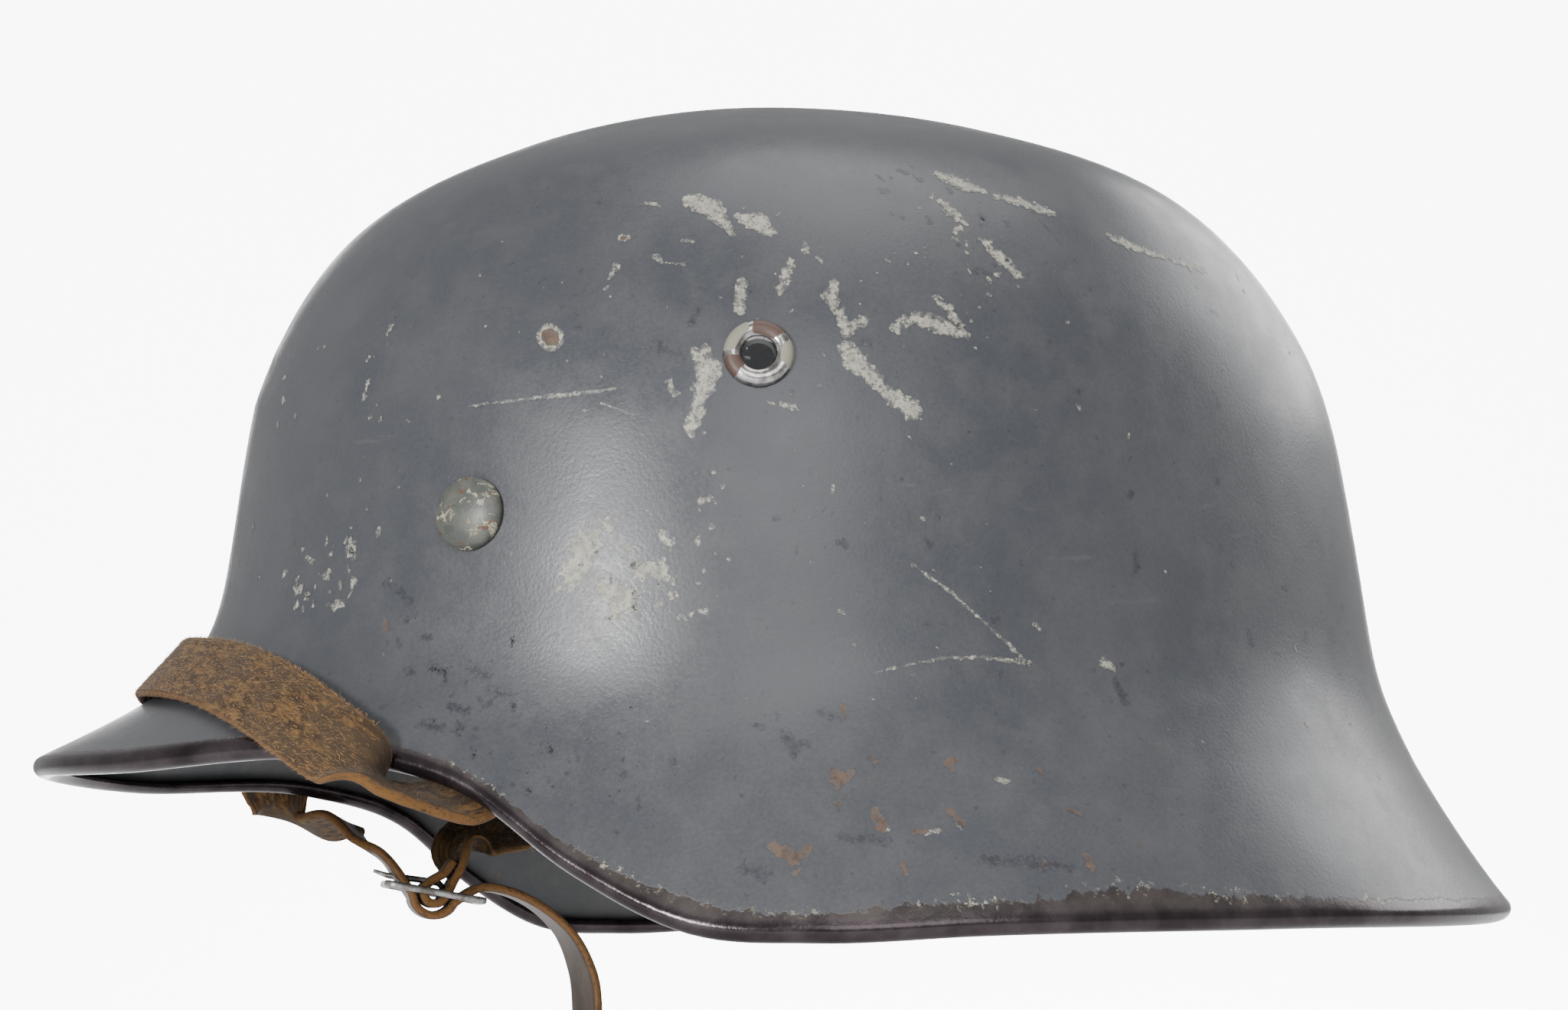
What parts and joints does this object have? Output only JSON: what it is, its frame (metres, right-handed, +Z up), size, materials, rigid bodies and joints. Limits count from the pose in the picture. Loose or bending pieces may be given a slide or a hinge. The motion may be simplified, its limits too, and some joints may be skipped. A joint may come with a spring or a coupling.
{
  "type": "steel helmet with leather chin strap",
  "caption": "Worn painted steel helmet with a flared neck skirt, rolled rim, side vents and a buckled leather chin strap pushed up over the visor",
  "frame": {"origin": "highest point of the inside of the shell, where the crown of a head comes", "axes": "+Z up, -Y towards the visor, +X towards the wearer's left"},
  "size_m": [0.2348, 0.2798, 0.1828],
  "materials": {
    "worn_paint": "satin blue-grey paint, chipped and scratched",
    "rivet_paint": "satin olive-grey paint with chips and rust",
    "bare_steel": "dull worn steel",
    "brown_leather": "aged, rough flesh side out"
  },
  "bodies": {
    "root": {"shell": "worn_paint", "vent_eyelet_left": "bare_steel", "vent_eyelet_right": "bare_steel", "rivet_left": "rivet_paint", "rivet_right": "rivet_paint", "rivet_rear": "rivet_paint", "strap_hanger_left": "bare_steel", "strap_hanger_right": "bare_steel", "buckle_frame": "bare_steel", "buckle_prong": "bare_steel", "chin_strap_long": "brown_leather", "chin_strap_short": "brown_leather"}
  },
  "joints": []
}
